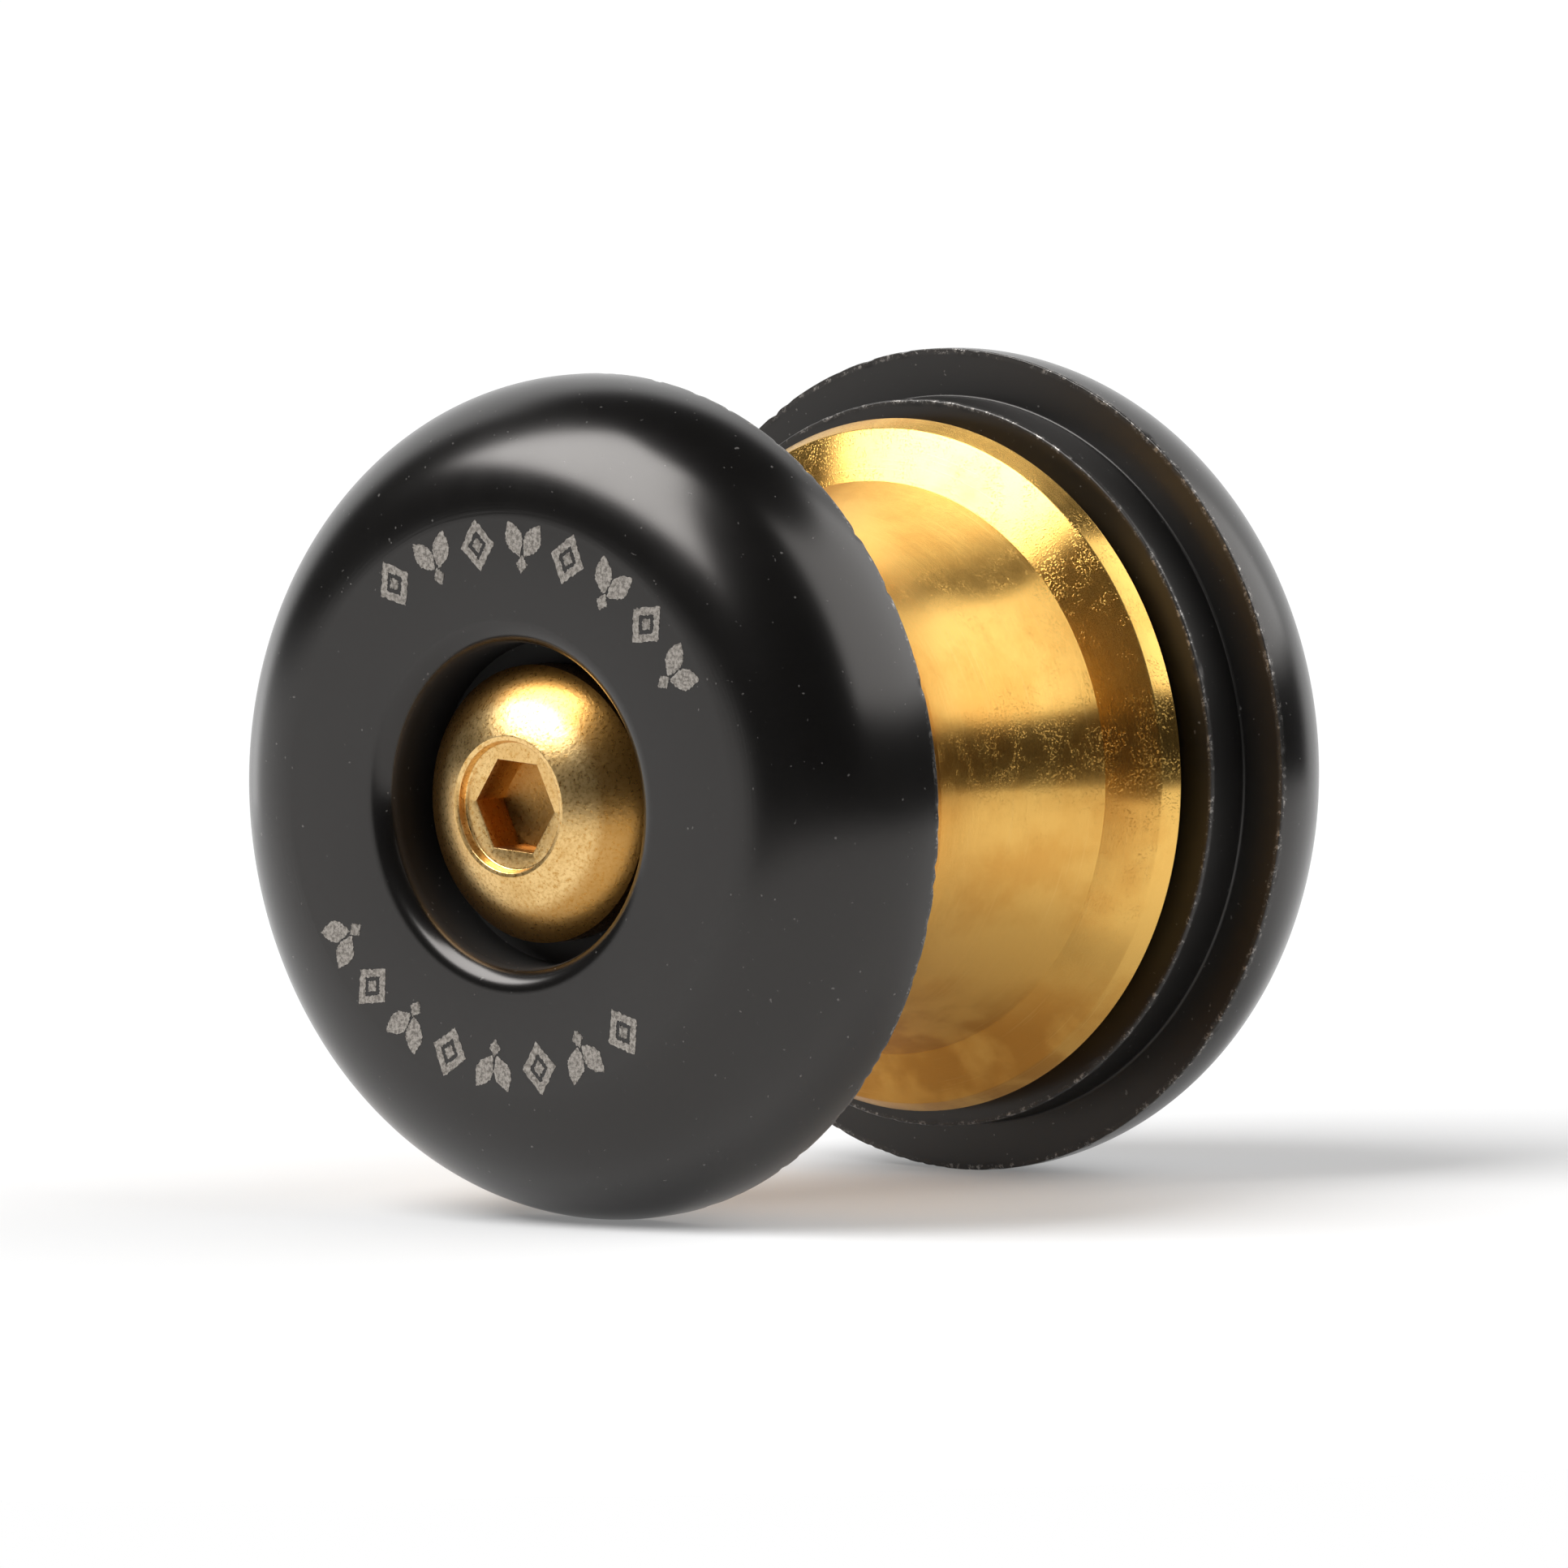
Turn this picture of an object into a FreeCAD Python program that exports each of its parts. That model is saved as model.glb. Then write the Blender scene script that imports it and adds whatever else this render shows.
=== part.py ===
import FreeCAD, Part
import math
import os

# Double-flanged groove roller, in millimetres.
# The spin axis is Y, the origin is the middle of the roller, and +Z is up.
# The front is at -Y. Every half is worked out for +Y, then turned half a turn about Z for -Y.

# ---- driving dimensions ----

# Flanges: turned discs with a rounded outer side, a raised boss inside and a screw recess outside.
FLANGE_RADIUS = 14.5
HALF_LENGTH = 14.8
FLAT_RADIUS = 9.8
ROUNDING_RADIUS = 4.98
FLANGE_INNER_FACE = 9.45
EDGE_BREAK = 0.06
BOSS_RADIUS = 12.8
BOSS_FACE = 7.65
BOSS_CHAMFER = 0.15
BOSS_ROOT_FILLET = 0.2
RECESS_RADIUS = 5.55
RECESS_LIP = 0.87
SCREW_CLEARANCE_RADIUS = 2.65
SPINDLE_POCKET_DEPTH = 2.0

# Groove roller: waisted floor, two steep cones, two narrow lands, chamfered ends.
WAIST_RADIUS = 8.73
CREASE_RADIUS = 10.05
CREASE_AT = 5.18
CONE_TOP_RADIUS = 11.86
CONE_TOP_AT = 6.05
RIM_RADIUS = 12.19
RIM_AT = 6.70
ROLLER_END = 7.45
ROLLER_BORE_RADIUS = 5.9
POCKET_LEAD_IN = 0.2

# Ball bearings, 8 x 14 x 4, with two shields each.
BEARING_BORE_RADIUS = 4.0
BEARING_OUTER_RADIUS = 7.0
BEARING_WIDTH = 4.0
BEARING_CORNER = 0.15
PITCH_RADIUS = 5.5
BALL_RADIUS = 0.794
BALL_COUNT = 10
BALL_CLEARANCE = 0.02
RACE_CONFORMITY = 1.06
INNER_SHOULDER_RADIUS = 4.95
OUTER_SHOULDER_RADIUS = 6.05
SHIELD_THICKNESS = 0.2
SHIELD_INSET = 0.05
SHIELD_SEAT_RADIUS = 6.35
SHIELD_GAP = 0.1
CAGE_INNER_RADIUS = 5.22
CAGE_OUTER_RADIUS = 5.78
CAGE_HALF_WIDTH = 1.15
CAGE_POCKET_CLEARANCE = 0.04
CAGE_DRILL_OVERRUN = 0.3

# Spindle, spacer tube and shims.
FIT_CLEARANCE = 0.01
SPINDLE_END_GAP = 0.1
SPINDLE_CHAMFER = 0.3
SPACER_WALL = 0.83
SPACER_CLEARANCE = 0.02
SHIM_THICKNESS = 0.25
SHIM_OUTER_RADIUS = 4.85

# M5 button-head screws with a 3 mm hex socket.
THREAD_CREST_RADIUS = 2.48
THREAD_ROOT_RADIUS = 2.06
THREAD_PITCH = 0.8
THREAD_CLEARANCE = 0.04
THREAD_TURNS = 8
HEAD_RADIUS = 4.75
HEAD_HEIGHT = 2.75
HEAD_TOP = 14.8
HEAD_RIM_AT = 13.24
HEAD_CROWN_RADIUS = 2.45
CROWN_STEP_RADIUS = 2.23
CROWN_STEP_DEPTH = 0.35
CROWN_STEP_TAPER = 0.08
HEAD_UNDERCUT = 0.12
SCREW_LENGTH = 10.0
TIP_CHAMFER = 0.45
SOCKET_ACROSS_FLATS = 3.0
SOCKET_DEPTH = 1.75
SOCKET_CONE_DEPTH = 0.55
SOCKET_TURN = 5

# ---- places worked out from the driving dimensions ----

ROUNDING_CENTRE_RADIUS = FLANGE_RADIUS - ROUNDING_RADIUS
ROUNDING_RISE = math.sqrt(ROUNDING_RADIUS ** 2 - (FLAT_RADIUS - ROUNDING_CENTRE_RADIUS) ** 2)
ROUNDING_CENTRE_AT = HALF_LENGTH - ROUNDING_RISE
SCREW_SEAT = HEAD_TOP - HEAD_HEIGHT
SCREW_TIP = SCREW_SEAT - SCREW_LENGTH
SPINDLE_RADIUS = BEARING_BORE_RADIUS - FIT_CLEARANCE
SPINDLE_POCKET_FLOOR = BOSS_FACE + SPINDLE_POCKET_DEPTH
SPINDLE_END = SPINDLE_POCKET_FLOOR - SPINDLE_END_GAP
BEARING_FACE = BOSS_FACE - SHIM_THICKNESS
BEARING_BACK = BEARING_FACE - BEARING_WIDTH
BEARING_MIDDLE = BEARING_FACE - BEARING_WIDTH / 2
SPACER_RADIUS = BEARING_BORE_RADIUS + SPACER_CLEARANCE
FULL_TURN = 360
Y_AXIS = FreeCAD.Vector(0, 1, 0)
Z_AXIS = FreeCAD.Vector(0, 0, 1)
ORIGIN = FreeCAD.Vector(0, 0, 0)


# ---- helpers ----

class Outline:
    """A closed half-section of a turned piece, drawn as (radius, place along the axis)."""

    def __init__(self, radius, place):
        self.first = FreeCAD.Vector(radius, place, 0)
        self.last = self.first
        self.edges = []

    def line(self, radius, place):
        point = FreeCAD.Vector(radius, place, 0)
        self.edges.append(Part.LineSegment(self.last, point).toShape())
        self.last = point
        return self

    def arc(self, middle, end):
        point = FreeCAD.Vector(end[0], end[1], 0)
        through = FreeCAD.Vector(middle[0], middle[1], 0)
        self.edges.append(Part.Arc(self.last, through, point).toShape())
        self.last = point
        return self

    def turned(self):
        if self.last.distanceToPoint(self.first) > 1e-9:
            self.edges.append(Part.LineSegment(self.last, self.first).toShape())
        face = Part.Face(Part.Wire(self.edges))
        solid = face.revolve(ORIGIN, Y_AXIS, FULL_TURN)
        if solid.Volume < 0:
            solid.reverse()
        return solid


def arc_point(centre, radius, angle):
    """The point at an angle, in degrees from the radial direction, on an arc about a centre."""
    turn = math.radians(angle)
    return centre[0] + radius * math.cos(turn), centre[1] + radius * math.sin(turn)


def to_front(shape):
    """The same piece at the -Y end, turned half a turn about Z."""
    turned = shape.copy()
    turned.rotate(ORIGIN, Z_AXIS, 180)
    return turned


def thread_points(start, radius_offset):
    """The zigzag of a thread drawn as parallel rings, from start outwards along the axis."""
    points = []
    for turn in range(THREAD_TURNS):
        root_at = start + turn * THREAD_PITCH
        points.append((THREAD_ROOT_RADIUS + radius_offset, root_at))
        points.append((THREAD_CREST_RADIUS + radius_offset, root_at + THREAD_PITCH / 2))
    points.append((THREAD_ROOT_RADIUS + radius_offset, start + THREAD_TURNS * THREAD_PITCH))
    points.append((THREAD_CREST_RADIUS + radius_offset, start + (THREAD_TURNS + 0.5) * THREAD_PITCH))
    return points


# ---- flanges ----

def flange():
    root_at = (BOSS_RADIUS + BOSS_ROOT_FILLET, FLANGE_INNER_FACE - BOSS_ROOT_FILLET)
    rounding_at = (ROUNDING_CENTRE_RADIUS, ROUNDING_CENTRE_AT)
    lip_at = (RECESS_RADIUS + RECESS_LIP, HALF_LENGTH - RECESS_LIP)
    outline = Outline(BEARING_BORE_RADIUS, BOSS_FACE)
    outline.line(BOSS_RADIUS - BOSS_CHAMFER, BOSS_FACE)
    outline.line(BOSS_RADIUS, BOSS_FACE + BOSS_CHAMFER)
    outline.line(BOSS_RADIUS, root_at[1])
    outline.arc(arc_point(root_at, BOSS_ROOT_FILLET, 135), (root_at[0], FLANGE_INNER_FACE))
    outline.line(FLANGE_RADIUS - EDGE_BREAK, FLANGE_INNER_FACE)
    outline.line(FLANGE_RADIUS, FLANGE_INNER_FACE + EDGE_BREAK)
    outline.line(FLANGE_RADIUS, ROUNDING_CENTRE_AT)
    outline.arc(arc_point(rounding_at, ROUNDING_RADIUS, 45), (FLAT_RADIUS, HALF_LENGTH))
    outline.line(lip_at[0], HALF_LENGTH)
    outline.arc(arc_point(lip_at, RECESS_LIP, 135), (RECESS_RADIUS, lip_at[1]))
    outline.line(RECESS_RADIUS, SCREW_SEAT)
    outline.line(SCREW_CLEARANCE_RADIUS, SCREW_SEAT)
    outline.line(SCREW_CLEARANCE_RADIUS, SPINDLE_POCKET_FLOOR)
    outline.line(BEARING_BORE_RADIUS, SPINDLE_POCKET_FLOOR)
    return outline.turned()


# ---- groove roller ----

def groove_roller():
    end_chamfer = ROLLER_END - RIM_AT
    outline = Outline(ROLLER_BORE_RADIUS, BEARING_BACK)
    outline.line(BEARING_OUTER_RADIUS, BEARING_BACK)
    outline.line(BEARING_OUTER_RADIUS, ROLLER_END - POCKET_LEAD_IN)
    outline.line(BEARING_OUTER_RADIUS + POCKET_LEAD_IN, ROLLER_END)
    outline.line(RIM_RADIUS - end_chamfer, ROLLER_END)
    outline.line(RIM_RADIUS, RIM_AT)
    outline.line(CONE_TOP_RADIUS, CONE_TOP_AT)
    outline.line(CREASE_RADIUS, CREASE_AT)
    outline.arc((WAIST_RADIUS, 0), (CREASE_RADIUS, -CREASE_AT))
    outline.line(CONE_TOP_RADIUS, -CONE_TOP_AT)
    outline.line(RIM_RADIUS, -RIM_AT)
    outline.line(RIM_RADIUS - end_chamfer, -ROLLER_END)
    outline.line(BEARING_OUTER_RADIUS + POCKET_LEAD_IN, -ROLLER_END)
    outline.line(BEARING_OUTER_RADIUS, -ROLLER_END + POCKET_LEAD_IN)
    outline.line(BEARING_OUTER_RADIUS, -BEARING_BACK)
    outline.line(ROLLER_BORE_RADIUS, -BEARING_BACK)
    return outline.turned()


# ---- ball bearings ----

def ball_directions():
    """The radial direction of each ball, the first half a pitch away from the X axis."""
    directions = []
    for number in range(BALL_COUNT):
        turn = 2 * math.pi * (number + 0.5) / BALL_COUNT
        directions.append(FreeCAD.Vector(math.cos(turn), 0, math.sin(turn)))
    return directions


def race_groove(side):
    """Half-width and floor radius of a raceway: side is +1 on the outer race, -1 on the inner."""
    groove_radius = BALL_RADIUS * RACE_CONFORMITY
    floor_radius = PITCH_RADIUS + side * (BALL_RADIUS + BALL_CLEARANCE)
    shoulder_radius = OUTER_SHOULDER_RADIUS if side > 0 else INNER_SHOULDER_RADIUS
    depth = abs(floor_radius - shoulder_radius)
    return math.sqrt(groove_radius ** 2 - (groove_radius - depth) ** 2), floor_radius


def inner_race():
    half_groove, floor_radius = race_groove(-1)
    corner = BEARING_CORNER
    outline = Outline(BEARING_BORE_RADIUS, BEARING_BACK + corner)
    outline.line(BEARING_BORE_RADIUS + corner, BEARING_BACK)
    outline.line(INNER_SHOULDER_RADIUS, BEARING_BACK)
    outline.line(INNER_SHOULDER_RADIUS, BEARING_MIDDLE - half_groove)
    outline.arc((floor_radius, BEARING_MIDDLE), (INNER_SHOULDER_RADIUS, BEARING_MIDDLE + half_groove))
    outline.line(INNER_SHOULDER_RADIUS, BEARING_FACE)
    outline.line(BEARING_BORE_RADIUS + corner, BEARING_FACE)
    outline.line(BEARING_BORE_RADIUS, BEARING_FACE - corner)
    return outline.turned()


def outer_race():
    half_groove, floor_radius = race_groove(1)
    corner = BEARING_CORNER
    seat_depth = SHIELD_THICKNESS + SHIELD_INSET
    outline = Outline(SHIELD_SEAT_RADIUS, BEARING_BACK)
    outline.line(BEARING_OUTER_RADIUS - corner, BEARING_BACK)
    outline.line(BEARING_OUTER_RADIUS, BEARING_BACK + corner)
    outline.line(BEARING_OUTER_RADIUS, BEARING_FACE - corner)
    outline.line(BEARING_OUTER_RADIUS - corner, BEARING_FACE)
    outline.line(SHIELD_SEAT_RADIUS, BEARING_FACE)
    outline.line(SHIELD_SEAT_RADIUS, BEARING_FACE - seat_depth)
    outline.line(OUTER_SHOULDER_RADIUS, BEARING_FACE - seat_depth)
    outline.line(OUTER_SHOULDER_RADIUS, BEARING_MIDDLE + half_groove)
    outline.arc((floor_radius, BEARING_MIDDLE), (OUTER_SHOULDER_RADIUS, BEARING_MIDDLE - half_groove))
    outline.line(OUTER_SHOULDER_RADIUS, BEARING_BACK + seat_depth)
    outline.line(SHIELD_SEAT_RADIUS, BEARING_BACK + seat_depth)
    return outline.turned()


def shield(inner_side_at):
    """A thin pressed washer in the outer race's step, clear of the inner race."""
    outline = Outline(INNER_SHOULDER_RADIUS + SHIELD_GAP, inner_side_at)
    outline.line(SHIELD_SEAT_RADIUS, inner_side_at)
    outline.line(SHIELD_SEAT_RADIUS, inner_side_at + SHIELD_THICKNESS)
    outline.line(INNER_SHOULDER_RADIUS + SHIELD_GAP, inner_side_at + SHIELD_THICKNESS)
    return outline.turned()


def balls():
    middle = FreeCAD.Vector(0, BEARING_MIDDLE, 0)
    spheres = []
    for direction in ball_directions():
        spheres.append(Part.makeSphere(BALL_RADIUS, middle + direction * PITCH_RADIUS))
    return Part.makeCompound(spheres)


def ball_cage():
    """A machined ring with one drilled radial pocket for each ball."""
    middle = FreeCAD.Vector(0, BEARING_MIDDLE, 0)
    pocket_radius = BALL_RADIUS + CAGE_POCKET_CLEARANCE
    outline = Outline(CAGE_INNER_RADIUS, BEARING_MIDDLE - CAGE_HALF_WIDTH)
    outline.line(CAGE_OUTER_RADIUS, BEARING_MIDDLE - CAGE_HALF_WIDTH)
    outline.line(CAGE_OUTER_RADIUS, BEARING_MIDDLE + CAGE_HALF_WIDTH)
    outline.line(CAGE_INNER_RADIUS, BEARING_MIDDLE + CAGE_HALF_WIDTH)
    cage = outline.turned()
    for direction in ball_directions():
        inside = middle + direction * (CAGE_INNER_RADIUS - CAGE_DRILL_OVERRUN)
        drill_length = CAGE_OUTER_RADIUS - CAGE_INNER_RADIUS + 2 * CAGE_DRILL_OVERRUN
        cage = cage.cut(Part.makeCylinder(pocket_radius, drill_length, inside, direction))
    return cage


# ---- spindle, spacer tube and shims ----

def spindle():
    """A barrel with a threaded bore right through: the thread runs in from both ends."""
    bore = thread_points(SCREW_TIP, THREAD_CLEARANCE)
    outline = Outline(SPINDLE_RADIUS - SPINDLE_CHAMFER, SPINDLE_END)
    outline.line(SPINDLE_RADIUS, SPINDLE_END - SPINDLE_CHAMFER)
    outline.line(SPINDLE_RADIUS, SPINDLE_CHAMFER - SPINDLE_END)
    outline.line(SPINDLE_RADIUS - SPINDLE_CHAMFER, -SPINDLE_END)
    outline.line(THREAD_CREST_RADIUS + THREAD_CLEARANCE, -SPINDLE_END)
    for radius, place in reversed(bore):
        outline.line(radius, -place)
    for radius, place in bore:
        outline.line(radius, place)
    outline.line(THREAD_CREST_RADIUS + THREAD_CLEARANCE, SPINDLE_END)
    return outline.turned()


def spacer_tube():
    outline = Outline(SPACER_RADIUS, -BEARING_BACK)
    outline.line(SPACER_RADIUS + SPACER_WALL, -BEARING_BACK)
    outline.line(SPACER_RADIUS + SPACER_WALL, BEARING_BACK)
    outline.line(SPACER_RADIUS, BEARING_BACK)
    return outline.turned()


def shim():
    outline = Outline(SPACER_RADIUS, BEARING_FACE)
    outline.line(SHIM_OUTER_RADIUS, BEARING_FACE)
    outline.line(SHIM_OUTER_RADIUS, BOSS_FACE)
    outline.line(SPACER_RADIUS, BOSS_FACE)
    return outline.turned()


# ---- screws ----

def hex_socket():
    """The socket's hexagon, one corner near +X, and the drilled cone below it."""
    corner_radius = SOCKET_ACROSS_FLATS / math.sqrt(3)
    floor_at = HEAD_TOP - SOCKET_DEPTH
    corners = []
    for number in range(7):
        turn = math.radians(60 * number - SOCKET_TURN)
        place = (corner_radius * math.cos(turn), floor_at, corner_radius * math.sin(turn))
        corners.append(FreeCAD.Vector(*place))
    hexagon = Part.Face(Part.makePolygon(corners)).extrude(Y_AXIS * SOCKET_DEPTH)
    drilled = Part.makeCone(
        0, SOCKET_ACROSS_FLATS / 2, SOCKET_CONE_DEPTH,
        FreeCAD.Vector(0, floor_at - SOCKET_CONE_DEPTH, 0), Y_AXIS)
    return hexagon.fuse(drilled)


def dome_middle():
    """A point half-way along the head's dome, on the sphere through its rim and its crown."""
    rise = HEAD_TOP - HEAD_RIM_AT
    chord = HEAD_RADIUS ** 2 - HEAD_CROWN_RADIUS ** 2
    below_rim = (chord - rise ** 2) / (2 * rise)
    sphere_radius = math.hypot(HEAD_RADIUS, below_rim)
    middle_radius = (HEAD_RADIUS + HEAD_CROWN_RADIUS) / 2
    height = math.sqrt(sphere_radius ** 2 - middle_radius ** 2) - below_rim
    return middle_radius, HEAD_RIM_AT + height


def screw():
    thread = thread_points(SCREW_TIP, 0)
    outline = Outline(0, SCREW_TIP)
    outline.line(THREAD_ROOT_RADIUS - TIP_CHAMFER, SCREW_TIP)
    for radius, place in thread[1:]:
        outline.line(radius, place)
    outline.line(THREAD_CREST_RADIUS, SCREW_SEAT)
    outline.line(HEAD_RADIUS - HEAD_UNDERCUT, SCREW_SEAT)
    outline.line(HEAD_RADIUS, SCREW_SEAT + HEAD_UNDERCUT)
    outline.line(HEAD_RADIUS, HEAD_RIM_AT)
    outline.arc(dome_middle(), (HEAD_CROWN_RADIUS, HEAD_TOP))
    outline.line(CROWN_STEP_RADIUS, HEAD_TOP)
    outline.line(CROWN_STEP_RADIUS - CROWN_STEP_TAPER, HEAD_TOP - CROWN_STEP_DEPTH)
    outline.line(0, HEAD_TOP - CROWN_STEP_DEPTH)
    return outline.turned().cut(hex_socket())


# ---- one STEP file per node ----

def nodes():
    shapes = {
        "groove_roller": groove_roller(),
        "spindle": spindle(),
        "spacer_tube": spacer_tube(),
    }
    pairs = {
        "flange": flange(),
        "screw": screw(),
        "shim": shim(),
        "bearing_inner_race": inner_race(),
        "bearing_outer_race": outer_race(),
        "bearing_balls": balls(),
        "bearing_cage": ball_cage(),
        "bearing_outer_shield": shield(BEARING_FACE - SHIELD_INSET - SHIELD_THICKNESS),
        "bearing_inner_shield": shield(BEARING_BACK + SHIELD_INSET),
    }
    for name, shape in pairs.items():
        shapes["rear_" + name] = shape
        shapes["front_" + name] = to_front(shape)
    return shapes


os.makedirs("parts", exist_ok=True)
for node, solid in nodes().items():
    solid.exportStep("parts/" + node + ".step")
    print(node, "valid", solid.isValid(), "solids", len(solid.Solids), "mm3", round(solid.Volume, 3))
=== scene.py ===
import math
import random

import bmesh
import bpy
from mathutils import Matrix, Vector


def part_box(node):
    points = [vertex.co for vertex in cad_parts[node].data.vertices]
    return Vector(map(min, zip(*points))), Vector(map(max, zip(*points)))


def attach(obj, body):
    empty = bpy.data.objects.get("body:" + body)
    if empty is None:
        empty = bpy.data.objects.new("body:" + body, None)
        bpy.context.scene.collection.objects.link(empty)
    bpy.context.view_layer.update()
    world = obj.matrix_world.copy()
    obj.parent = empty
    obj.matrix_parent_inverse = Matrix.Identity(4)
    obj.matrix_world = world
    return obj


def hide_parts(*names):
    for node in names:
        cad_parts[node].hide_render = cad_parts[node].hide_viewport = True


# The looks of a double-flanged groove roller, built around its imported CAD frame.
# The spin axis is Y, the front is at -Y and +Z is up. Named lengths are millimetres, angles are degrees.
# An angle round the axis runs clockwise from the top, as seen from in front.

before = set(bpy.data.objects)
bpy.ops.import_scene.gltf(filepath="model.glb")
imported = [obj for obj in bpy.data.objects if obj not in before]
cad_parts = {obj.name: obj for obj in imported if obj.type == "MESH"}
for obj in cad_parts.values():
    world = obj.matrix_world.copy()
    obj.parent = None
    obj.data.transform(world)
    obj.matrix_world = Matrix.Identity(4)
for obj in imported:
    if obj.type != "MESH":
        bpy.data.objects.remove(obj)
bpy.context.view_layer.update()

MM = 0.001
FULL_TURN = 2 * math.pi


# ---- sizes that the frame gives ----

def reach(node):
    """Outer radius, inner place and outer place of a rear node, in millimetres."""
    low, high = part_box(node)
    return high.x / MM, low.y / MM, high.y / MM


FLANGE_RADIUS, BOSS_FACE, HALF_LENGTH = reach("rear_flange")
RIM_RADIUS, _, ROLLER_END = reach("groove_roller")
HEAD_RADIUS, SCREW_TIP, HEAD_TOP = reach("rear_screw")
BEARING_OUTER_RADIUS, BEARING_BACK, _ = reach("rear_bearing_outer_race")

# ---- sizes that the frame doesn't give, the same as the CAD part's ----
# The step round the socket tapers there. Here it is straight, at its middle radius.

FLAT_RADIUS = 9.8
ROUNDING_RADIUS = 4.98
FLANGE_INNER_FACE = 9.45
BOSS_RADIUS = 12.8
RECESS_RADIUS = 5.55
RECESS_LIP = 0.87
SCREW_CLEARANCE_RADIUS = 2.65
SPINDLE_BORE_RADIUS = 4.0
SPINDLE_POCKET_DEPTH = 2.0
SPINDLE_POCKET_FLOOR = BOSS_FACE + SPINDLE_POCKET_DEPTH

WAIST_RADIUS = 8.73
CREASE_RADIUS = 10.05
CREASE_AT = 5.18
CONE_TOP_RADIUS = 11.86
CONE_TOP_AT = 6.05
RIM_AT = 6.70
ROLLER_BORE_RADIUS = 5.9
POCKET_LEAD_IN = 0.2

HEAD_HEIGHT = 2.75
SCREW_SEAT = HEAD_TOP - HEAD_HEIGHT
HEAD_RIM_AT = 13.24
HEAD_CROWN_RADIUS = 2.45
CROWN_STEP_RADIUS = 2.19
CROWN_STEP_DEPTH = 0.35
CROWN_FLOOR = HEAD_TOP - CROWN_STEP_DEPTH
SOCKET_ACROSS_FLATS = 3.0
SOCKET_DEPTH = 1.75
SOCKET_FLOOR = HEAD_TOP - SOCKET_DEPTH
SOCKET_CONE_DEPTH = 0.55
SOCKET_TURN = 5
THREAD_CREST_RADIUS = 2.48
THREAD_ROOT_RADIUS = 2.06
THREAD_PITCH = 0.8
THREAD_TURNS = 8.5
THREAD_END = SCREW_TIP + THREAD_TURNS * THREAD_PITCH
TIP_CHAMFER = 0.45
THREAD_RUNOUT = 0.3

# ---- finish of the meshes ----

SEGMENTS = 540
HEAD_SEGMENTS = 360
THREAD_SEGMENTS = 120
FILLET_STEPS = 4
ROUNDING_STEPS = 40
LIP_STEPS = 12
FLOOR_STEPS = 60
RINGS_PER_TURN = 10
SMOOTH_BELOW = 35


# ---- outlines and turned meshes ----

def arc(centre, radius, start, end, steps):
    """Corners along an arc, from a start angle to an end angle, where 0 points away from the axis."""
    corners = []
    for step in range(steps + 1):
        turn = math.radians(start + (end - start) * step / steps)
        corners.append((centre[0] + radius * math.cos(turn), centre[1] + radius * math.sin(turn), 0))
    return corners


def rounded(corners):
    """A half-section as (radius, place) points, with each corner (radius, place, fillet) softened."""
    points = []
    for index, (radius, place, fillet) in enumerate(corners):
        corner = Vector((radius, place))
        if not fillet:
            points.append((radius, place))
            continue
        before = Vector(corners[index - 1][:2]) - corner
        after = Vector(corners[(index + 1) % len(corners)][:2]) - corner
        start = corner + before.normalized() * fillet
        end = corner + after.normalized() * fillet
        for step in range(FILLET_STEPS + 1):
            share = step / FILLET_STEPS
            point = start.lerp(corner, share).lerp(corner.lerp(end, share), share)
            points.append((point.x, point.y))
    return points


def turned(name, rings, segments, closed=True):
    """A mesh turned about Y. A ring is (radius, place), or a function of the angle that gives them."""
    vertices = []
    loops = []
    for ring in rings:
        is_pole = not callable(ring) and ring[0] == 0
        loop = []
        for step in range(1 if is_pole else segments):
            angle = FULL_TURN * step / segments
            radius, place = ring(angle) if callable(ring) else ring
            loop.append(len(vertices))
            vertices.append((
                -radius * math.sin(angle) * MM,
                place * MM,
                radius * math.cos(angle) * MM))
        loops.append(loop)
    faces = []
    pairs = list(zip(loops, loops[1:]))
    if closed:
        pairs.append((loops[-1], loops[0]))
    for near, far in pairs:
        for step in range(segments):
            after = (step + 1) % segments
            corners = [near[step % len(near)], near[after % len(near)],
                       far[after % len(far)], far[step % len(far)]]
            faces.append(list(dict.fromkeys(corners)))
    return new_piece(name, vertices, faces)


def new_piece(name, vertices, faces):
    """A mesh object with smooth shading, apart from its sharp edges."""
    mesh = bpy.data.meshes.new(name)
    mesh.from_pydata(vertices, [], faces)
    shape = bmesh.new()
    shape.from_mesh(mesh)
    bmesh.ops.recalc_face_normals(shape, faces=shape.faces)
    shape.to_mesh(mesh)
    shape.free()
    mesh.shade_smooth()
    mesh.set_sharp_from_angle(angle=math.radians(SMOOTH_BELOW))
    piece = bpy.data.objects.new(name, mesh)
    bpy.context.scene.collection.objects.link(piece)
    return piece


def to_front(piece):
    """Turns a piece that was built at the +Y end half a turn about Z, to the -Y end."""
    for vertex in piece.data.vertices:
        vertex.co.x = -vertex.co.x
        vertex.co.y = -vertex.co.y
    piece.data.update()
    return piece


def place_piece(piece, end, body, slot, material, *nodes):
    """Puts a finished piece at its end, on its body, with its finish, in place of CAD nodes."""
    if end == "front":
        to_front(piece)
    piece.data.materials.append(material)
    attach(piece, body)
    if nodes:
        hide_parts(*nodes)
    return piece


# ---- wear ----

def edge_dents(seed, count, widest, deepest):
    """Small dents round an edge, each (angle, half width, depth), the same on every run."""
    chance = random.Random(seed)
    dents = []
    for _ in range(count):
        angle = chance.uniform(0, FULL_TURN)
        half_width = math.radians(chance.uniform(0.3, 1) * widest)
        depth = deepest * chance.uniform(0.2, 1) ** 2
        dents.append((angle, half_width, depth))
    return dents


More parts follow.
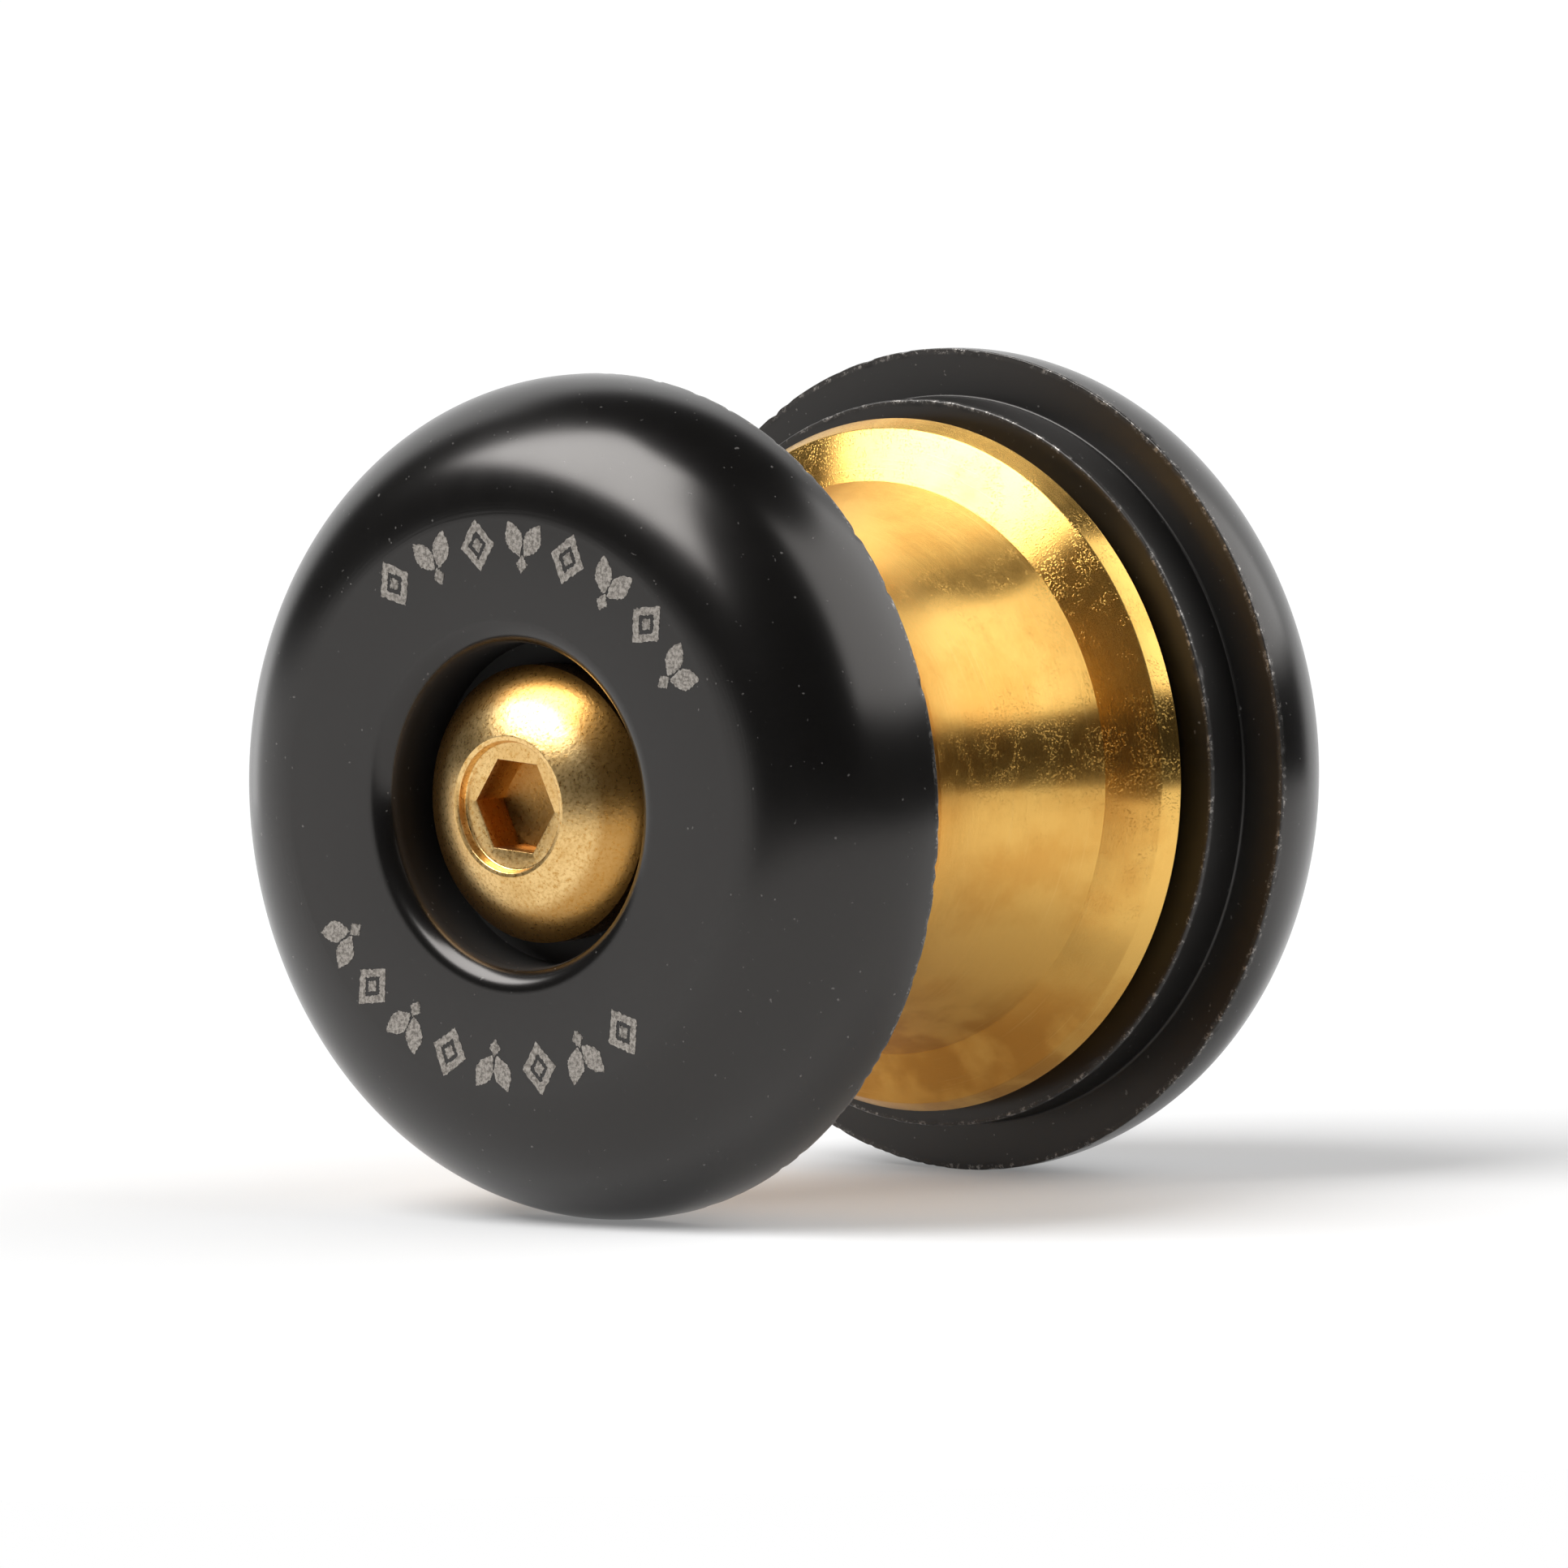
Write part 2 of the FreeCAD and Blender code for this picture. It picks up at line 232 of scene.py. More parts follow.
def dent_depth(dents, angle):
    deepest = 0
    for centre, half_width, depth in dents:
        apart = abs((angle - centre + math.pi) % FULL_TURN - math.pi)
        deepest = max(deepest, depth * (1 - apart / half_width))
    return deepest


def dented(point, dents, inwards):
    """A ring through a point, pushed along a direction wherever there is a dent."""
    def ring(angle):
        depth = dent_depth(dents, angle)
        return point[0] + inwards[0] * depth, point[1] + inwards[1] * depth
    return ring


# ---- flanges ----

# Rings a support reach away from a dented edge keep its dents from shading the long faces.
FLANGE_EDGE = 0.06
BOSS_EDGE = 0.1
DENT_REACH = 0.18
EDGE_REACH = 0.2
SUPPORT_REACH = 0.3
RIM_DENTS = {"count": 90, "widest": 1.2, "deepest": 0.09}
BOSS_DENTS = {"count": 70, "widest": 1.4, "deepest": 0.06}
DENT_DIRECTION = (-0.7, 0.7)


def flange_rings(seed):
    """A flange's half-section, with dents along its sharp edge and along the boss's edge."""
    rounding_at = (
        FLANGE_RADIUS - ROUNDING_RADIUS,
        HALF_LENGTH - math.sqrt(ROUNDING_RADIUS ** 2 - (FLAT_RADIUS + ROUNDING_RADIUS - FLANGE_RADIUS) ** 2))
    flat_turn = math.degrees(math.acos((FLAT_RADIUS - rounding_at[0]) / ROUNDING_RADIUS))
    lip_at = (RECESS_RADIUS + RECESS_LIP, HALF_LENGTH - RECESS_LIP)
    corners = [
        (SPINDLE_BORE_RADIUS, BOSS_FACE, 0),
        (BOSS_RADIUS - SUPPORT_REACH, BOSS_FACE, 0),
        (BOSS_RADIUS - EDGE_REACH, BOSS_FACE, 0),
        (BOSS_RADIUS, BOSS_FACE, BOSS_EDGE),
        (BOSS_RADIUS, BOSS_FACE + EDGE_REACH, 0),
        (BOSS_RADIUS, BOSS_FACE + SUPPORT_REACH, 0),
        (BOSS_RADIUS, FLANGE_INNER_FACE, BOSS_EDGE),
        (FLANGE_RADIUS - SUPPORT_REACH, FLANGE_INNER_FACE, 0),
        (FLANGE_RADIUS - EDGE_REACH, FLANGE_INNER_FACE, 0),
        (FLANGE_RADIUS, FLANGE_INNER_FACE, FLANGE_EDGE),
        (FLANGE_RADIUS, FLANGE_INNER_FACE + EDGE_REACH, 0),
        (FLANGE_RADIUS, FLANGE_INNER_FACE + SUPPORT_REACH, 0)]
    corners += arc(rounding_at, ROUNDING_RADIUS, 0, flat_turn, ROUNDING_STEPS)
    corners += arc(lip_at, RECESS_LIP, 90, 180, LIP_STEPS)
    corners += [
        (RECESS_RADIUS, SCREW_SEAT, 0),
        (SCREW_CLEARANCE_RADIUS, SCREW_SEAT, 0),
        (SCREW_CLEARANCE_RADIUS, SPINDLE_POCKET_FLOOR, 0),
        (SPINDLE_BORE_RADIUS, SPINDLE_POCKET_FLOOR, 0)]
    rim_dents = edge_dents(seed, **RIM_DENTS)
    boss_dents = edge_dents(seed + 1, **BOSS_DENTS)
    rings = []
    for point in rounded(corners):
        if math.dist(point, (FLANGE_RADIUS, FLANGE_INNER_FACE)) < DENT_REACH:
            rings.append(dented(point, rim_dents, DENT_DIRECTION))
        elif math.dist(point, (BOSS_RADIUS, BOSS_FACE)) < DENT_REACH:
            rings.append(dented(point, boss_dents, DENT_DIRECTION))
        else:
            rings.append(point)
    return rings


def face_place(radius):
    """Where a flange's outer side is at a radius, from its flat out over its rounding."""
    centre_radius = FLANGE_RADIUS - ROUNDING_RADIUS
    if radius <= FLAT_RADIUS:
        return HALF_LENGTH
    drop = math.sqrt(ROUNDING_RADIUS ** 2 - (FLAT_RADIUS - centre_radius) ** 2)
    return HALF_LENGTH - drop + math.sqrt(ROUNDING_RADIUS ** 2 - (radius - centre_radius) ** 2)


# ---- etched ornament on the flanges' faces ----

MARK_MIDDLE_RADIUS = 8.95
MARK_HEIGHT = 1.8
MARK_WIDTH = 1.5
MARK_STROKE = 0.3
MARK_PITCH = 13.0
MARKS_PER_ROW = 8
MARK_ROW_MIDDLE = 12.5
MARK_PROUD = 0.012
MARK_SKIRT = 0.05
MARK_RAGGED = 0.03
MARK_STEPS = 14
STROKE_SPREAD = 1.35
LEAF_WIDTH = 0.72
LEAF_TURN = 28


def lozenge(width, height):
    """A lozenge's closed outline, along its four sides."""
    corners = [(0, height / 2), (width / 2, 0), (0, -height / 2), (-width / 2, 0)]
    outline = []
    for index, corner in enumerate(corners):
        after = corners[(index + 1) % 4]
        for step in range(MARK_STEPS):
            outline.append(Vector(corner).lerp(Vector(after), step / MARK_STEPS))
    return outline


def leaf(width, height, turn):
    """A pointed oval's closed outline, turned by an angle."""
    turned_by = Matrix.Rotation(math.radians(turn), 2)
    outline = []
    for step in range(4 * MARK_STEPS):
        along = step / (4 * MARK_STEPS)
        side = 1 if along < 0.5 else -1
        share = 2 * along if along < 0.5 else 2 - 2 * along
        bulge = side * width / 2 * math.sin(math.pi * share)
        point = Vector((bulge, height / 2 - height * share))
        outline.append(turned_by @ point)
    return outline


def shifted(outline, across, up):
    return [point + Vector((across, up)) for point in outline]


def mark_shapes(number):
    """The closed shapes of one mark, each with its stroke, which is None where the shape is filled."""
    if number % 2:
        spread = MARK_WIDTH * 0.27
        return [
            (shifted(leaf(LEAF_WIDTH, MARK_HEIGHT * 0.74, LEAF_TURN), -spread, 0.2), None),
            (shifted(leaf(LEAF_WIDTH, MARK_HEIGHT * 0.74, -LEAF_TURN), spread, 0.2), None),
            (shifted(lozenge(0.5, 0.62), 0, -MARK_HEIGHT * 0.36), None)]
    return [
        (lozenge(MARK_WIDTH, MARK_HEIGHT), MARK_STROKE),
        (lozenge(MARK_WIDTH * 0.3, MARK_HEIGHT * 0.3), None)]


def on_face(point, turn, lift):
    """A mark's own point, placed round the axis on the flange's outer side."""
    radius = MARK_MIDDLE_RADIUS + point.y
    angle = math.radians(turn) + point.x / radius
    place = face_place(radius) + lift
    return -radius * math.sin(angle) * MM, place * MM, radius * math.cos(angle) * MM


def ornament(name):
    """Two rows of thin marks, one over the screw and one under it."""
    vertices = []
    faces = []
    for row in range(2):
        for number in range(MARKS_PER_ROW):
            turn = MARK_ROW_MIDDLE + 180 * row + MARK_PITCH * (number - (MARKS_PER_ROW - 1) / 2)
            for outline, stroke in mark_shapes(number):
                add_mark(vertices, faces, outline, stroke, turn)
    return new_piece(name, vertices, faces)


def add_mark(vertices, faces, outline, stroke, turn):
    """One closed shape: a ribbon along its outline, or a filled plate, with a skirt into the flange."""
    middle = sum(outline, Vector((0, 0))) / len(outline)
    size = max((point - middle).length for point in outline)
    keep = 0 if stroke is None else 1 - STROKE_SPREAD * stroke / size
    count = len(outline)
    first = len(vertices)
    for share, lift in ((1, -MARK_SKIRT), (1, MARK_PROUD), (keep, MARK_PROUD), (keep, -MARK_SKIRT)):
        if share == 0:
            vertices.append(on_face(middle, turn, lift))
            continue
        chance = random.Random(count + round(turn * 10) + round(share * 100))
        for point in outline:
            ragged = Vector((chance.uniform(-1, 1), chance.uniform(-1, 1))) * MARK_RAGGED
            vertices.append(on_face(middle + (point - middle) * share + ragged, turn, lift))
    for step in range(count):
        after = (step + 1) % count
        faces.append([first + step, first + after, first + count + after, first + count + step])
        if stroke is None:
            faces.append([first + count + step, first + count + after, first + 2 * count])
            faces.append([first + after, first + step, first + 2 * count + 1])
        else:
            for row in (1, 2):
                start = first + row * count
                faces.append([start + step, start + after, start + count + after, start + count + step])


# ---- groove roller ----

ROLLER_EDGE = 0.05


def roller_rings():
    """The roller's half-section: an arched floor, two cones, two lands and the bearing pockets."""
    rise = CREASE_RADIUS - WAIST_RADIUS
    floor_radius = (CREASE_AT ** 2 + rise ** 2) / (2 * rise)
    half_turn = math.degrees(math.asin(CREASE_AT / floor_radius))
    floor = arc((WAIST_RADIUS + floor_radius, 0), floor_radius, 180 - half_turn, 180 + half_turn, FLOOR_STEPS)
    side = [
        (ROLLER_BORE_RADIUS, BEARING_BACK, 0),
        (BEARING_OUTER_RADIUS, BEARING_BACK, 0),
        (BEARING_OUTER_RADIUS, ROLLER_END - POCKET_LEAD_IN, 0),
        (BEARING_OUTER_RADIUS + POCKET_LEAD_IN, ROLLER_END, 0),
        (RIM_RADIUS - (ROLLER_END - RIM_AT), ROLLER_END, ROLLER_EDGE),
        (RIM_RADIUS, RIM_AT, ROLLER_EDGE),
        (CONE_TOP_RADIUS, CONE_TOP_AT, ROLLER_EDGE)]
    other_side = [(radius, -place, fillet) for radius, place, fillet in reversed(side)]
    return rounded(side + floor + other_side)


# ---- screws ----

def hex_radius(angle, across_flats):
    """How far a hexagon's side is from its middle at an angle."""
    corner_step = math.radians(60)
    from_corner = (angle - math.radians(90 + SOCKET_TURN)) % corner_step
    return across_flats / 2 / math.cos(from_corner - corner_step / 2)


def hexagon(across_flats, place):
    def ring(angle):
        return hex_radius(angle, across_flats), place
    return ring


def thread_ring(place):
    """A ring through a helical thread, which fades out at both of its ends."""
    def ring(angle):
        phase = (place / THREAD_PITCH + angle / FULL_TURN) % 1
        fade = min(1, (place - SCREW_TIP) / THREAD_PITCH, (THREAD_END - place) / THREAD_PITCH)
        depth = (THREAD_CREST_RADIUS - THREAD_ROOT_RADIUS) * (1 - abs(2 * phase - 1)) * max(0, fade)
        return THREAD_ROOT_RADIUS + depth, place
    return ring


def head_rings():
    """A button head from its seat over the dome to the drilled bottom of its hexagonal socket."""
    rise = HEAD_TOP - HEAD_RIM_AT
    below_rim = (HEAD_RADIUS ** 2 - HEAD_CROWN_RADIUS ** 2 - rise ** 2) / (2 * rise)
    dome_radius = math.hypot(HEAD_RADIUS, below_rim)
    dome_start = math.degrees(math.asin(below_rim / dome_radius))
    dome_end = math.degrees(math.acos(HEAD_CROWN_RADIUS / dome_radius))
    dome = arc((0, HEAD_RIM_AT - below_rim), dome_radius, dome_start, dome_end, ROUNDING_STEPS)
    corners = [
        (THREAD_CREST_RADIUS, SCREW_SEAT, 0),
        (HEAD_RADIUS, SCREW_SEAT, 0.15)]
    corners += dome
    corners += [
        (HEAD_CROWN_RADIUS - 0.04, HEAD_TOP + 0.015, 0.02),
        (CROWN_STEP_RADIUS + 0.06, HEAD_TOP - 0.02, 0.04),
        (CROWN_STEP_RADIUS, CROWN_FLOOR, 0.08)]
    rings = rounded(corners + [(0, CROWN_FLOOR, 0)])[:-1]
    rings += [
        hexagon(SOCKET_ACROSS_FLATS + 0.14, CROWN_FLOOR),
        hexagon(SOCKET_ACROSS_FLATS + 0.04, CROWN_FLOOR - 0.02),
        hexagon(SOCKET_ACROSS_FLATS, CROWN_FLOOR - 0.07),
        hexagon(SOCKET_ACROSS_FLATS, SOCKET_FLOOR),
        (SOCKET_ACROSS_FLATS / 2 - 0.02, SOCKET_FLOOR),
        (0, SOCKET_FLOOR - SOCKET_CONE_DEPTH)]
    return rings


def shank_rings():
    """The screw's shank, from its chamfered tip along a helical thread to the head."""
    steps = round((THREAD_END - SCREW_TIP) / THREAD_PITCH * RINGS_PER_TURN)
    rings = [(0, SCREW_TIP), (THREAD_ROOT_RADIUS - TIP_CHAMFER, SCREW_TIP)]
    for step in range(1, steps + 1):
        rings.append(thread_ring(SCREW_TIP + (THREAD_END - SCREW_TIP) * step / steps))
    rings += [(THREAD_CREST_RADIUS, THREAD_END + THREAD_RUNOUT), (THREAD_CREST_RADIUS, SCREW_SEAT)]
    rings += [(0, SCREW_SEAT)]
    return rings


# ---- materials ----

class Nodes:
    """A node tree, with one short call for each node."""

    def __init__(self, owner):
        owner.use_nodes = True
        self.tree = owner.node_tree

    def node(self, kind, inputs=(), **settings):
        """A node with its inputs set in order: a socket is linked, a number is set, None is left."""
        made = self.tree.nodes.new(kind)
        for name, value in settings.items():
            setattr(made, name, value)
        for socket, value in zip(made.inputs, inputs):
            self.feed(socket, value)
        return made

    def feed(self, socket, value):
        if isinstance(value, bpy.types.NodeSocket):
            self.tree.links.new(value, socket)
        elif value is not None:
            socket.default_value = value

    def math(self, operation, *inputs):
        return self.node("ShaderNodeMath", inputs, operation=operation).outputs[0]

    def step(self, value, start, end):
        """0 up to start, 1 from end, and smooth between; start may be above end."""
        made = self.node("ShaderNodeMapRange", [value, start, end, 0.0, 1.0], interpolation_type="SMOOTHSTEP")
        return made.outputs[0]


class Finish(Nodes):
    """A material, with the places and noises that its colour, gloss and relief are made from."""

    def __init__(self, name):
        self.material = bpy.data.materials.new(name)
        super().__init__(self.material)
        self.shader = self.tree.nodes["Principled BSDF"]
        place = self.node("ShaderNodeSeparateXYZ", [self.node("ShaderNodeTexCoord").outputs["Object"]])
        self.x, self.y, self.z = place.outputs
        self.from_middle = self.math("ABSOLUTE", self.y)
        across = self.math("POWER", self.x, 2)
        up = self.math("POWER", self.z, 2)
        self.radius = self.math("SQRT", self.math("ADD", across, up))

    def grain(self, size, detail=2.0, roughness=0.5):
        """Noise with even spots, of a size in millimetres."""
        made = self.node("ShaderNodeTexNoise")
        self.feed(made.inputs["Vector"], self.node("ShaderNodeTexCoord").outputs["Object"])
        self.feed(made.inputs["Scale"], 1 / (size * MM))
        self.feed(made.inputs["Detail"], detail)
        self.feed(made.inputs["Roughness"], roughness)
        return made.outputs["Fac"]

    def rings_noise(self, width, turns, detail=2.0):
        """Noise drawn out along the turning: so wide across, and so many changes round the axis."""
        aside = self.math("DIVIDE", self.x, self.radius)
        upright = self.math("DIVIDE", self.z, self.radius)
        along = self.math("DIVIDE", self.y, width * MM)
        around = self.node("ShaderNodeCombineXYZ", [
            self.math("MULTIPLY", aside, turns),
            self.math("MULTIPLY", upright, turns),
            along])
        made = self.node("ShaderNodeTexNoise", noise_dimensions="4D")
        self.feed(made.inputs["Vector"], around.outputs[0])
        self.feed(made.inputs["W"], self.math("DIVIDE", self.radius, width * MM))
        self.feed(made.inputs["Scale"], 1.0)
        self.feed(made.inputs["Detail"], detail)
        return made.outputs["Fac"]

    def near(self, radius, place, spread):
        """1 on a circle round the axis at both ends, falling to 0 a spread away, in millimetres."""
        aside = self.math("SUBTRACT", self.radius, radius * MM)
        along = self.math("SUBTRACT", self.from_middle, place * MM)
        distance = self.math("SQRT", self.math(
            "ADD", self.math("POWER", aside, 2), self.math("POWER", along, 2)))
        return self.step(distance, spread * MM, spread * MM * 0.4)

    def mix(self, share, first, second):
        """A colour between two, by a share from 0 to 1."""
        made = self.node("ShaderNodeMix", data_type="RGBA")
        self.feed(made.inputs["Factor"], share)
        self.feed(made.inputs[6], first)
        self.feed(made.inputs[7], second)
        return made.outputs[2]

    def between(self, share, low, high):
        """A number between two, by a share from 0 to 1."""
        return self.node("ShaderNodeMapRange", [share, 0.0, 1.0, low, high]).outputs[0]

    def bump(self, height, distance, strength=1.0, under=None):
        """The normal of a height from 0 to 1, so many millimetres deep."""
        made = self.node("ShaderNodeBump")
        self.feed(made.inputs["Strength"], strength)
        self.feed(made.inputs["Distance"], distance * MM)
        self.feed(made.inputs["Height"], height)
        self.feed(made.inputs["Normal"], under)
        return made.outputs[0]

    def done(self, **values):
        for name, value in values.items():
            self.feed(self.shader.inputs[name.replace("_", " ")], value)
        return self.material


BLACK = (0.0032, 0.0030, 0.0028, 1)
BLACK_WORN = (0.0052, 0.0048, 0.0045, 1)
ALUMINIUM = (0.34, 0.32, 0.30, 1)
DUST = (0.10, 0.095, 0.09, 1)
WARM_SHINE = (1.0, 0.955, 0.92, 1)
GOLD = (0.86, 0.52, 0.135, 1)
GOLD_DEEP = (0.70, 0.34, 0.065, 1)
# Painted shade: the deep colour that the roller's underside is darkened to.
SHADE_AMBER = (0.52, 0.25, 0.05, 1)
GOLD_PALE = (0.90, 0.60, 0.20, 1)
SCREW_GOLD = (0.90, 0.62, 0.27, 1)
SCREW_GOLD_DEEP = (0.55, 0.29, 0.07, 1)
# Painted shade: the brown that the socket and the lower part of the head are darkened to.
DEPTH_SHADE_BROWN = (0.42, 0.19, 0.03, 1)
STEEL = (0.52, 0.52, 0.53, 1)
STEEL_DARK = (0.33, 0.33, 0.34, 1)
BRASS = (0.72, 0.50, 0.20, 1)
BRASS_DARK = (0.48, 0.29, 0.09, 1)
ETCH = (0.34, 0.31, 0.275, 1)
ETCH_DARK = (0.12, 0.105, 0.09, 1)


# How far bare metal shows from each sharp edge, in millimetres.
RIM_WEAR = 0.24
BOSS_WEAR = 0.19

# Where the finishes change, in millimetres: the places where each change starts and ends.
TURNING_BAND = (9.6, 10.0, 10.4, 11.4)
RECESS_FINISH = (SPINDLE_POCKET_FLOOR + 1, SPINDLE_POCKET_FLOOR + 1.2)
# Painted shade: how far below the axis the roller's underside starts darkening, and where it is darkest.
SHADE_BELOW = (6.8, 9.4)


def black_anodised():
    """Satin black anodising: dust, a band of turning marks, and bare metal along the sharp edges."""
    finish = Finish("black_anodised")
    rim_edge = finish.near(FLANGE_RADIUS, FLANGE_INNER_FACE, RIM_WEAR)
    boss_edge = finish.near(BOSS_RADIUS, BOSS_FACE, BOSS_WEAR)
    edges = finish.math("MAXIMUM", rim_edge, boss_edge)
    chips = finish.step(finish.grain(size=0.26, detail=5.0, roughness=0.78), 0.52, 0.64)
    rubbed = finish.between(finish.grain(size=1.6, detail=4.0, roughness=0.7), 0.0, 0.10)
    worn = finish.math("MULTIPLY", edges, finish.math("MAXIMUM", chips, rubbed))
    specks = finish.step(finish.grain(size=0.20, detail=1.0), 0.74, 0.80)
    cloud = finish.grain(size=3.5, detail=3.0)
    colour = finish.mix(cloud, BLACK, BLACK_WORN)
    colour = finish.mix(specks, colour, DUST)
    colour = finish.mix(worn, colour, ALUMINIUM)
    marks = finish.rings_noise(width=0.09, turns=3.0)
    band_start = finish.step(finish.radius, TURNING_BAND[0] * MM, TURNING_BAND[1] * MM)
    band_end = finish.step(finish.radius, TURNING_BAND[3] * MM, TURNING_BAND[2] * MM)
    band = finish.math("MULTIPLY", band_start, band_end)
    ridges = finish.math("MULTIPLY", marks, finish.between(band, 0.10, 1.6))
    normal = finish.bump(ridges, 0.0018)
    normal = finish.bump(finish.grain(size=0.06, detail=2.0), 0.0006, under=normal)
    roughness = finish.between(finish.grain(size=1.6, detail=3.0), 0.19, 0.25)
    in_recess = finish.math(
        "MULTIPLY",
        finish.step(finish.radius, (RECESS_RADIUS + 0.12) * MM, (RECESS_RADIUS + 0.02) * MM),
        finish.step(finish.from_middle, RECESS_FINISH[0] * MM, RECESS_FINISH[1] * MM))
    roughness = finish.between(in_recess, roughness, 0.7)
    inside = finish.step(finish.from_middle, (FLANGE_INNER_FACE + 0.05) * MM, (FLANGE_INNER_FACE + 0.02) * MM)
    roughness = finish.between(inside, roughness, 0.36)
    return finish.done(
        Base_Color=colour, Metallic=worn, Roughness=roughness, IOR=1.56,
        Specular_Tint=WARM_SHINE, Normal=normal)


def etched():
    """The pale grey of a laser mark on anodising, uneven from spot to spot."""
    finish = Finish("etched_mark")
    spots = finish.step(finish.grain(size=0.13, detail=3.0, roughness=0.7), 0.36, 0.62)
    colour = finish.mix(spots, ETCH_DARK, ETCH)
    normal = finish.bump(finish.grain(size=0.05, detail=2.0), 0.006)
    return finish.done(Base_Color=colour, Roughness=0.65, Normal=normal)


def gold_roller():
    """Polished gold colouring over turned metal: a sharp shine under a haze, with painted shade on its
    underside.

    Each spot is either sharp or hazy, by a noise far finer than a pixel, so the eye sees both at once.
    """
    finish = Finish("gold_roller")
    stain = finish.step(finish.grain(size=4.5, detail=5.0, roughness=0.6), 0.42, 0.66)
    fine = finish.rings_noise(width=0.06, turns=2.0, detail=3.0)
    colour = finish.mix(finish.math("MULTIPLY", stain, 0.6), GOLD, GOLD_DEEP)
    # Painted shade: the roller's underside is darkened, broken up in clouds.
    underside = finish.step(finish.z, -SHADE_BELOW[0] * MM, -SHADE_BELOW[1] * MM)
    clouds = finish.step(finish.grain(size=2.2, detail=4.0), 0.4, 0.6)
    underside_shade = finish.math("MULTIPLY", underside, finish.between(clouds, 0.3, 0.9))
    colour = finish.mix(underside_shade, colour, SHADE_AMBER)
    colour = finish.mix(finish.step(fine, 0.6, 0.85), colour, GOLD_PALE)
    pits = finish.step(finish.grain(size=0.14, detail=2.0), 0.72, 0.82)
    colour = finish.mix(finish.math("MULTIPLY", pits, 0.5), colour, GOLD_DEEP)
    in_groove = finish.step(finish.from_middle, (CREASE_AT + 0.05) * MM, (CREASE_AT - 0.05) * MM)
    hazy = finish.math("ADD", finish.grain(size=0.004, detail=0.0), finish.between(in_groove, -0.06, 0.09))
    hazy = finish.math("ADD", hazy, finish.between(fine, -0.06, 0.06))
    roughness = finish.between(finish.step(hazy, 0.48, 0.52), 0.15, 0.40)
    normal = finish.bump(fine, 0.0012)
    flecks = finish.step(finish.grain(size=0.075, detail=2.0, roughness=0.6), 0.54, 0.72)
    patches = finish.step(finish.grain(size=0.8, detail=3.0), 0.36, 0.66)
    normal = finish.bump(finish.math("MULTIPLY", flecks, patches), 0.0045, under=normal)
    round_axis = finish.node("ShaderNodeTangent", direction_type="RADIAL", axis="Y").outputs[0]
    return finish.done(
        Base_Color=colour, Metallic=1.0, Roughness=roughness, Anisotropic=0.985, Anisotropic_Rotation=0.25,
        Tangent=round_axis, Normal=normal)


def gold_screw():
    """Grainy gold, duller than the roller, with painted shade down in the socket, on the lower part of the
    head and towards the rim.
    """
    finish = Finish("gold_screw")
    spots = finish.grain(size=0.12, detail=3.0, roughness=0.65)
    cloud = finish.step(finish.grain(size=1.4, detail=3.0), 0.4, 0.7)
    colour = finish.mix(finish.step(spots, 0.22, 0.62), SCREW_GOLD_DEEP, SCREW_GOLD)
    colour = finish.mix(finish.math("MULTIPLY", cloud, 0.35), colour, SCREW_GOLD_DEEP)
    # Painted shade: darker towards the rim, where the head sits down in the flange's recess.
    rim_shade = finish.step(finish.radius, (HEAD_RADIUS - 1.1) * MM, HEAD_RADIUS * MM)
    colour = finish.mix(finish.math("MULTIPLY", rim_shade, 0.55), colour, SCREW_GOLD_DEEP)
    # Painted shade: brown over everything deeper than just under the crown floor, in the socket and on the
    # lower part of the head.
    deep_shade = finish.step(finish.from_middle, (CROWN_FLOOR - 0.05) * MM, (CROWN_FLOOR - 0.4) * MM)
    colour = finish.mix(finish.math("MULTIPLY", deep_shade, 0.7), colour, DEPTH_SHADE_BROWN)
    roughness = finish.between(spots, 0.22, 0.36)
    normal = finish.bump(finish.grain(size=0.16, detail=4.0, roughness=0.65), 0.009)
    return finish.done(Base_Color=colour, Metallic=1.0, Roughness=roughness, Normal=normal)


def turned_steel(name, light, dark, low, high):
    """Ground or turned steel: rings round the axis and a little cloudiness."""
    finish = Finish(name)
    fine = finish.rings_noise(width=0.06, turns=2.0, detail=3.0)
    cloud = finish.grain(size=1.2, detail=3.0)
    colour = finish.mix(finish.math("MULTIPLY", fine, cloud), light, dark)
    roughness = finish.between(fine, low, high)
    normal = finish.bump(fine, 0.002)
    return finish.done(Base_Color=colour, Metallic=1.0, Roughness=roughness, Normal=normal)


# ---- pieces ----

BLACK_FINISH = black_anodised()
ETCHED_FINISH = etched()
ROLLER_FINISH = gold_roller()
SCREW_FINISH = gold_screw()
CAD_FINISHES = {
    "spindle": turned_steel("spindle_steel", STEEL, STEEL_DARK, 0.25, 0.4),
    "spacer_tube": turned_steel("spacer_steel", STEEL, STEEL_DARK, 0.3, 0.45),
    "shim": turned_steel("shim_steel", STEEL, STEEL_DARK, 0.3, 0.5),
    "race": turned_steel("race_steel", STEEL, STEEL_DARK, 0.12, 0.22),
    "balls": turned_steel("ball_steel", STEEL, STEEL_DARK, 0.05, 0.1),
    "cage": turned_steel("cage_brass", BRASS, BRASS_DARK, 0.3, 0.45),
    "shield": turned_steel("shield_steel", STEEL_DARK, STEEL, 0.3, 0.5),
}

